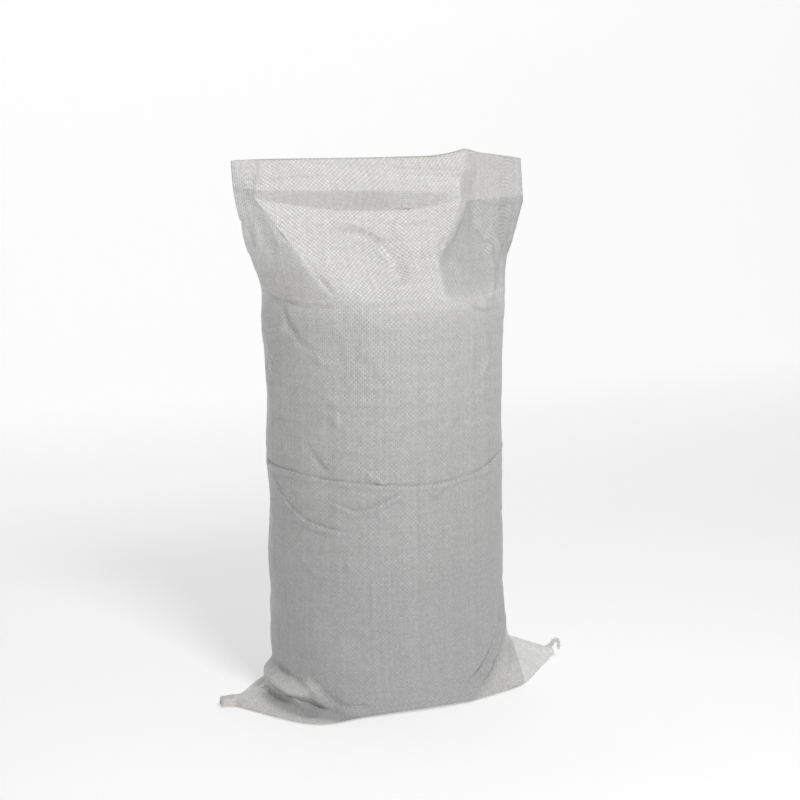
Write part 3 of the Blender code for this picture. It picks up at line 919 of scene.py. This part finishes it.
# %% Make the chain
STITCH_PITCH = 0.008
STITCH_COUNT = 56
STITCH_LENGTH = 0.0105
STITCH_WIDTH = 0.0028
STITCH_HEIGHT = 0.0009
STRAND_RADIUS = 0.00045

bpy.ops.mesh.primitive_torus_add(major_segments=16, minor_segments=6,
                                 major_radius=STITCH_WIDTH / 2.0 - STRAND_RADIUS,
                                 minor_radius=STRAND_RADIUS)
thread = bpy.context.object
thread.name = "sewing_thread"
select_vertices(thread, [True] * len(thread.data.vertices))
bpy.ops.transform.resize(value=(STITCH_LENGTH / STITCH_WIDTH, 1.0, 1.0), center_override=(0.0, 0.0, 0.0))
bpy.ops.transform.translate(value=(-STITCH_PITCH * (STITCH_COUNT - 1) / 2.0, 0.0, STITCH_HEIGHT))
bpy.ops.object.mode_set(mode="OBJECT")
chain = thread.modifiers.new("chain", "ARRAY")
chain.count = STITCH_COUNT
chain.use_relative_offset = False
chain.use_constant_offset = True
chain.constant_offset_displace = (STITCH_PITCH, 0.0, 0.0)
bpy.ops.object.modifier_apply(modifier="chain")
bpy.ops.object.shade_smooth()
print("chain of", STITCH_COUNT, "stitches,", round(thread.dimensions.x, 3), "m long")

# %% [markdown]
# At the right ear the thread comes out as a short tail of two twisted plies, which springs
# up, bends over and thins out.

# %% Make the tail
TAIL_PATH = ((228, 0, 19), (233, 0, 21.5), (238, 0, 24), (241, 0, 28), (244.5, 0, 30.5),
             (248.5, 0.5, 28.5), (250.5, 1, 23), (250.5, 1.5, 15))
TAIL_RINGS = 60
TAIL_THINNING = 0.35
PLY_RADIUS = 0.0021
PLY_SIDES = 10
PLY_TURNS = 4.0
# how far a ply's middle lies from the tail's, in ply radii
PLY_OFFSET = 0.85


def ply_ring(share, ply):
    """One ring of a ply that winds round the tail's middle line."""
    last = len(TAIL_PATH) - 1.0
    points = np.array(TAIL_PATH) * MM
    behind, middle, ahead = (Vector(catmull(points, min(max(share * last + step, 0.0), last)))
                             for step in (-0.05, 0.0, 0.05))
    across = Vector((0.0, 1.0, 0.0))
    up = across.cross((ahead - behind).normalized()).normalized()
    thin = 1.0 - TAIL_THINNING * share ** 2

    def spoke(angle):
        return (across * math.cos(angle) + up * math.sin(angle)) * PLY_RADIUS

    centre = middle + spoke(2.0 * math.pi * (PLY_TURNS * share + ply / 2.0)) * PLY_OFFSET * thin
    return [centre + spoke(2.0 * math.pi * step / PLY_SIDES) * thin for step in range(PLY_SIDES)]


plies = []
for ply in range(2):
    ply_rings = [ply_ring(index / (TAIL_RINGS - 1), ply) for index in range(TAIL_RINGS)]
    plies.append(plain_tube("tail_ply", np.array(ply_rings)))
select_only(thread)
for ply in plies:
    ply.select_set(True)
bpy.ops.object.join()
bpy.ops.object.transform_apply(location=True, rotation=True, scale=True)
print("thread faces", len(thread.data.polygons))

# %% [markdown]
# ## The cement
#
# The powder is a piece of its own, though nothing of it shows. It is the sack's own form
# again, drawn in far enough that no crease of the cloth touches it, with a heaped top.

# %% Make the cement core
CORE_INSET = 0.009
CORE_LEVELS = (0.010, 0.016, 0.026, 0.040, 0.060, 0.120, 0.200, 0.280, 0.360, 0.440, 0.500)
# the core narrows to this share at the floor, from this height down
CORE_FOOT = 0.90
CORE_FOOT_HEIGHT = 0.060
HEAP_HEIGHT = 0.030
HEAP_SHARES = (0.85, 0.65, 0.42, 0.20, 0.06)

core_rings = []
for z in CORE_LEVELS:
    middle = np.array([centre_x(z), 0.0, z])
    spokes = body_ring(z)[::4] - middle
    foot = CORE_FOOT + (1.0 - CORE_FOOT) * math.sin(math.pi / 2.0 * min(z / CORE_FOOT_HEIGHT, 1.0))
    reach = np.linalg.norm(spokes, axis=1)[:, None]
    core_rings.append(middle + spokes * (foot - CORE_INSET / reach))
top_spokes = core_rings[-1] - middle
for share in HEAP_SHARES:
    rise = np.array([0.0, 0.0, HEAP_HEIGHT * math.sqrt(1.0 - share ** 2)])
    core_rings.append(middle + top_spokes * share + rise)
core = plain_tube("cement_core", np.array(core_rings))

# %% [markdown]
# ## Materials
#
# A helper turns the sRGB hex values that a painter would pick into the linear colours that
# the shader works in. Another adds a node with its settings and links, and for those it uses
# a third, which also fills the inputs of the shader itself.

# %% Make the material helpers
WHITE = (1.0, 1.0, 1.0, 1.0)


def linear(hex_colour):
    values = []
    for place in (0, 2, 4):
        value = int(hex_colour[place:place + 2], 16) / 255.0
        values.append(value / 12.92 if value <= 0.04045 else ((value + 0.055) / 1.055) ** 2.4)
    return (*values, 1.0)


def fill_inputs(tree, node, inputs):
    """Set a node's inputs or link them. A node among the values stands for its first output."""
    for name, value in inputs.items():
        if isinstance(value, bpy.types.Node):
            value = value.outputs[0]
        if isinstance(value, bpy.types.NodeSocket):
            tree.links.new(value, node.inputs[name])
        else:
            node.inputs[name].default_value = value


def add_node(tree, kind, inputs=None, **settings):
    """Add a shader node, set its properties, and fill or link its inputs."""
    node = tree.nodes.new("ShaderNode" + kind)
    for name, value in settings.items():
        setattr(node, name, value)
    fill_inputs(tree, node, inputs or {})
    return node


def new_material(name):
    material = bpy.data.materials.new(name)
    material.use_nodes = True
    return material, material.node_tree, material.node_tree.nodes["Principled BSDF"]


# %% [markdown]
# ### Woven polypropylene
#
# The tapes are about 2.78 mm apart, 36 to 100 mm, in plain weave: over one, under one. A
# sine across and a sine up give the cells, and their product tells which tape is on top.
# The real tape is a stretched film, slightly glossy and milky, and where powder lies
# behind it the cloth looks greyer.

# %% Make the woven material
TAPE_PITCH = 0.1 / 36

material, tree, shader = new_material("woven_polypropylene_tape")
place = add_node(tree, "SeparateXYZ", {"Vector": add_node(tree, "UVMap", uv_map="UVMap")})
waves = []
whole = []
for axis in ("X", "Y"):
    count = add_node(tree, "Math", {0: place.outputs[axis], 1: 1.0 / TAPE_PITCH}, operation="MULTIPLY")
    angle = add_node(tree, "Math", {0: count, 1: math.pi}, operation="MULTIPLY")
    waves.append(add_node(tree, "Math", {0: angle}, operation="SINE"))
    whole.append(add_node(tree, "Math", {0: count}, operation="FLOOR"))
weave = add_node(tree, "Math", {0: waves[0], 1: waves[1]}, operation="MULTIPLY")
arches = [add_node(tree, "Math", {0: wave}, operation="ABSOLUTE") for wave in waves]
over = add_node(tree, "MapRange", {"Value": weave, "From Min": -0.15, "From Max": 0.15})
cell = add_node(tree, "Mix", {"Factor": over, "A": arches[0], "B": arches[1]}, data_type="FLOAT")
bump = add_node(tree, "Bump", {"Height": cell, "Strength": 0.9, "Distance": 0.0007})
fill_inputs(tree, shader, {"Normal": bump, "Roughness": 0.38, "IOR": 1.49})
print("tape pitch in mm", round(TAPE_PITCH / MM, 2), "and nodes for the weave", len(tree.nodes))

# %% [markdown]
# Four values on every point steer the cloth's colour: how far powder backs the cloth, which
# greys it, with painted shade added towards the bottom, under the left roll and right of the
# neck's spine; how far it faces up, which sets painted glints on the weave; painted light, a
# paler colour where a real single layer lets light through (the ears, the neck's left panel,
# the hollow under the band); and how soiled it is. Each tape and each crossing also differs
# a little in tone.

# %% Colour the woven material
# how far the tone varies between columns of tape, between rows and between crossings
TAPE_SPREADS = (0.035, 0.02, 0.07)

backed, painted_glint_strength, painted_lit, soiled = [add_node(tree, "Attribute", attribute_name=name).outputs["Fac"]
                               for name in ("backed", "painted_glint_strength", "painted_lit_through", "soiled")]
# painted glints: the weave's crossings are made brighter, most where the cloth faces up
depth = add_node(tree, "MapRange", {"Value": painted_glint_strength, "From Min": -0.2, "From Max": 0.45,
                                    "To Min": 0.07, "To Max": 0.30})
crossing = add_node(tree, "MapRange", {"Value": weave, "From Min": -0.3, "From Max": 0.9})
painted_highlight = add_node(tree, "Math", {0: crossing, 1: depth}, operation="MULTIPLY")
shade = add_node(tree, "Math", {0: painted_highlight, 1: 0.93}, operation="ADD")
tapes = [add_node(tree, "TexWhiteNoise", {"W": number}, noise_dimensions="1D") for number in whole]
pair = add_node(tree, "CombineXYZ", {"X": whole[0], "Y": whole[1]})
tapes.append(add_node(tree, "TexWhiteNoise", {"Vector": pair}, noise_dimensions="2D"))
for tape, spread in zip(tapes, TAPE_SPREADS):
    band = add_node(tree, "MapRange", {"Value": tape.outputs["Value"], "To Min": 1.0 - spread,
                                       "To Max": 1.0 + spread})
    shade = add_node(tree, "Math", {0: shade, 1: band}, operation="MULTIPLY")
place = add_node(tree, "TexCoord").outputs["Object"]
stain = add_node(tree, "TexNoise", {"Vector": place, "Scale": 90.0, "Detail": 4.0}).outputs["Fac"]
blotch = add_node(tree, "MapRange", {"Value": stain, "From Min": 0.35, "From Max": 0.65})
dirt = add_node(tree, "Math", {0: blotch, 1: soiled}, operation="MULTIPLY")
tone = linear("dfdedc")
# the first mix greys the cloth where powder backs it, with painted shade in that value; the second is
# painted light, a paler colour where a single layer would let light through
for amount, colour in ((backed, "bebebe"), (painted_lit, "fcfcfb"), (dirt, "dcd6c8")):
    mix = add_node(tree, "Mix", {"Factor": amount, "A": tone, "B": linear(colour)}, data_type="RGBA")
    tone = mix.outputs["Result"]
final = add_node(tree, "VectorMath", {0: tone, "Scale": shade}, operation="SCALE")
fill_inputs(tree, shader, {"Base Color": final})
print("nodes of the woven material", len(tree.nodes))

# %% [markdown]
# The values follow from where a point lies and which way it faces.

# %% Work out the cloth's values
# half sizes of the oval beyond which the cloth belongs to an ear
BODY_OVAL = (0.166, 0.122)
# below this line on the right front (x, z) the cloth is pulled off the powder
RIGHT_FOLD_LINE = ((0.070, 0.104, 0.137, 0.150), (0.010, 0.036, 0.074, 0.098))
# and to the right of this line on the neck (z, x), the spine, painted shade greys the cloth
SPINE_LINE = ((0.596, 0.658), (0.023, 0.092))


def point_values(piece, field):
    values = np.empty(len(piece.data.vertices) * 3)
    piece.data.vertices.foreach_get(field, values)
    return values.reshape(-1, 3)


def backing(x, y, z, facing, around):
    """1 where powder backs the cloth, less where it is slack or pulled. Painted shade darkens it towards the
    bottom, in the hollow under the left roll and right of the neck's spine; painted light pales the roll's
    upper side.
    """
    # painted shade: the body darkens towards the bottom
    packed_and_painted_low_shade = 0.48 + 0.52 * smoothstep(z, 0.56, 0.12)
    # painted light on the roll's upward faces, painted shade in the hollow under it
    slack_and_painted_light = smoothstep(z, 0.050, 0.036) * smoothstep(x, -0.125, -0.150) * smoothstep(facing, -0.3, 0.2)
    slack_and_painted_light *= np.maximum(smoothstep(z, 0.014, 0.020), smoothstep(around, 1.08, 1.14))
    fold_z = np.interp(x, *RIGHT_FOLD_LINE)
    pulled = 0.70 * smoothstep(fold_z - z, 0.0, 0.024) * (x > RIGHT_FOLD_LINE[0][0]) * (y < 0.0)
    full = smoothstep(z, 0.560, 0.500) * smoothstep(around, 1.14, 1.04) * (1.0 - np.maximum(slack_and_painted_light, pulled))
    # painted shade on the facets right of the spine
    spine_x = np.interp(z, *SPINE_LINE)
    painted_spine_shade = smoothstep(x - spine_x, -0.002, 0.004) * smoothstep(z, 0.530, 0.560) * (z < 0.655)
    return np.maximum(packed_and_painted_low_shade * full, 0.6 * painted_spine_shade * (y < 0.045))


def painted_light_through(x, y, z, facing, around):
    """Painted light: a paler colour on the ears, the neck's left panel and the band's hollow, where a real
    single layer would let light through.
    """
    past_knee = smoothstep(x - RIGHT_KNEE_X, -0.001, 0.002)
    left_ear = 0.35 * smoothstep(around, 1.06, 1.16) * (x < 0.0)
    ear = np.where(x > 0.0, past_knee, left_ear) * smoothstep(z, 0.055, 0.045)
    left_panel = smoothstep(x + 0.9 * (z - 0.66), -0.192, -0.212) * smoothstep(z, 0.57, 0.60)
    left_panel *= 0.4 * smoothstep(z, 0.668, 0.655)
    lens = smoothstep(z, 0.62, 0.64) * smoothstep(z, 0.678, 0.672) * (y < 0.0)
    hollow = 0.10 * smoothstep(facing, -0.15, -0.35) * lens
    return np.maximum(np.maximum(ear, hollow), left_panel)


# %% [markdown]
# The sack and both ends of its hem get the same material, and each its own values.

# %% Give the cloth its material and its values
for piece in [sack] + hem_ends:
    x, y, z = point_values(piece, "co").T
    facing = point_values(piece, "normal")[:, 2]
    around = np.hypot((x - BODY_CENTRE_X) / BODY_OVAL[0], y / BODY_OVAL[1])
    high_up = smoothstep(z, 0.05, 0.50)
    # these values carry painted light and shade: the facing sets painted glints, the backing holds painted
    # shade, and the light through is painted light
    values = {
        "backed": backing(x, y, z, facing, around),
        "painted_glint_strength": facing * high_up - 0.08 * (1.0 - high_up),
        "painted_lit_through": painted_light_through(x, y, z, facing, around),
        "soiled": smoothstep(x, -0.205, -0.235) * smoothstep(z, 0.05, 0.03),
    }
    for name, value in values.items():
        piece.data.attributes.new(name, "FLOAT", "POINT").data.foreach_set("value", value)
    piece.data.materials.append(material)
    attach(piece, "root")
    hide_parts("woven_sack")
    print(piece.name, "values on", len(z), "points")

# %% [markdown]
# ### Sewing thread
#
# Bag thread is spun polyester, off-white and dull, with fine fibres wound round it. Fine
# slanting lines across its own map stand for those fibres.

# %% Make the thread material
FIBRE_SCALE = 9000.0

thread_material, tree, shader = new_material("spun_polyester_thread")
place = add_node(tree, "SeparateXYZ", {"Vector": add_node(tree, "UVMap", uv_map="UVMap")})
slant = add_node(tree, "Math", {0: place.outputs["X"], 1: place.outputs["Y"]}, operation="ADD")
angle = add_node(tree, "Math", {0: slant, 1: FIBRE_SCALE}, operation="MULTIPLY")
fibre = add_node(tree, "Math", {0: angle}, operation="SINE")
bump = add_node(tree, "Bump", {"Height": fibre, "Strength": 0.4, "Distance": 0.0001})
tone = add_node(tree, "MapRange", {"Value": fibre, "From Min": -1.0})
mix = add_node(tree, "Mix", {"Factor": tone, "A": linear("dddcd8"), "B": linear("f0efec")}, data_type="RGBA")
fill_inputs(tree, shader, {"Normal": bump, "Base Color": mix.outputs["Result"], "Roughness": 0.75})
thread.data.materials.append(thread_material)
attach(thread, "root")
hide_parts("seam_thread")
print("fibre lines in 10 mm", round(FIBRE_SCALE * 0.01 / (2.0 * math.pi)))

# %% [markdown]
# ### Cement powder
#
# Portland cement is a very fine dull powder, a slightly warm grey. Two noises, one of lumps
# and one of grains drawn coarser than they are, keep it from being one flat colour.

# %% Make the cement material
cement_material, tree, shader = new_material("portland_cement_powder")
place = add_node(tree, "TexCoord").outputs["Object"]
lump, grain = [add_node(tree, "TexNoise", {"Vector": place, "Scale": scale, "Detail": detail}).outputs["Fac"]
               for scale, detail in ((25.0, 5.0), (900.0, 2.0))]
mix = add_node(tree, "Mix", {"Factor": lump, "A": linear("83827d"), "B": linear("9d9b95")}, data_type="RGBA")
bump = add_node(tree, "Bump", {"Height": grain, "Strength": 0.5, "Distance": 0.0006})
fill_inputs(tree, shader, {"Normal": bump, "Base Color": mix.outputs["Result"], "Roughness": 0.95})
core.data.materials.append(cement_material)
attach(core, "root")
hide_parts("cement_fill")
print("nodes of the cement material", len(tree.nodes))

# %% [markdown]
# ## Floor and light
#
# A pale sweep carries the sack and rises behind it. It glows a little, more so at the back,
# because the background of such a picture is nearly white.

# %% Make the sweep
SWEEP_HALF = 4.0
SWEEP_BACK = 3.2
SWEEP_HEIGHT = 3.5
SWEEP_BEND = 1.2

bpy.ops.mesh.primitive_plane_add(size=2.0 * SWEEP_HALF, location=(0.0, SWEEP_BACK - SWEEP_HALF, 0.0))
sweep = bpy.context.object
sweep.name = "pale_sweep"
bpy.ops.object.transform_apply(location=True, rotation=True, scale=True)
select_vertices(sweep, [vertex.co.y > SWEEP_BACK - 0.01 for vertex in sweep.data.vertices])
bpy.ops.mesh.extrude_region_move(TRANSFORM_OT_translate={"value": (0.0, 0.0, SWEEP_HEIGHT)})
bpy.ops.object.mode_set(mode="OBJECT")
corner = [vertex.co.y > SWEEP_BACK - 0.01 and vertex.co.z < 0.01 for vertex in sweep.data.vertices]
select_vertices(sweep, corner)
bpy.ops.mesh.bevel(offset=SWEEP_BEND, segments=24, affect="EDGES")
bpy.ops.object.mode_set(mode="OBJECT")
bpy.ops.object.shade_smooth()

sweep_material, tree, shader = new_material("matt_white_paper")
place = add_node(tree, "SeparateXYZ", {"Vector": add_node(tree, "TexCoord").outputs["Object"]})
glow = add_node(tree, "MapRange", {"Value": place.outputs["Y"], "From Min": 0.4, "From Max": SWEEP_BACK,
                                   "To Min": 0.37, "To Max": 0.54}, interpolation_type="SMOOTHSTEP")
fill_inputs(tree, shader, {"Base Color": linear("e4e4e4"), "Roughness": 0.9, "Emission Color": WHITE,
                           "Emission Strength": glow})
sweep.data.materials.append(sweep_material)
print("sweep faces", len(sweep.data.polygons))

# %% [markdown]
# A small lamp in front of the sack and above it draws the folds. The sky gives the rest, and
# it is brighter overhead and to the right than to the left.

# %% Hang the lamp
LAMP_PLACE = Vector((0.02, -1.40, 1.80))
LAMP_AIM = Vector((0.0, 0.0, 0.40))
LAMP_SIDE = 0.45
LAMP_WATTS = 18.5
bpy.ops.object.light_add(type="AREA", location=LAMP_PLACE)
lamp = bpy.context.object
lamp.data.size = LAMP_SIDE
lamp.data.energy = LAMP_WATTS
lamp.rotation_euler = (LAMP_AIM - LAMP_PLACE).to_track_quat("-Z", "Y").to_euler()
print("lamp", LAMP_WATTS, "W at", round((LAMP_PLACE - LAMP_AIM).length, 2), "m")

# %% Light the sky
SKY_SIDE = (0.40, -0.10, 0.70)
SKY_STRENGTH = 0.52

world = bpy.data.worlds.new("studio")
world.use_nodes = True
tree = world.node_tree
bearing = add_node(tree, "TexCoord").outputs["Generated"]
side = add_node(tree, "VectorMath", {0: bearing, 1: SKY_SIDE}, operation="DOT_PRODUCT").outputs["Value"]
glow = add_node(tree, "MapRange", {"Value": side, "From Min": -0.7, "From Max": 0.9,
                                   "To Min": 0.0, "To Max": SKY_STRENGTH})
fill_inputs(tree, tree.nodes["Background"], {"Color": WHITE, "Strength": glow})
bpy.context.scene.world = world
bpy.context.scene.view_settings.view_transform = "Standard"
print("sky up to", SKY_STRENGTH, "towards", SKY_SIDE)
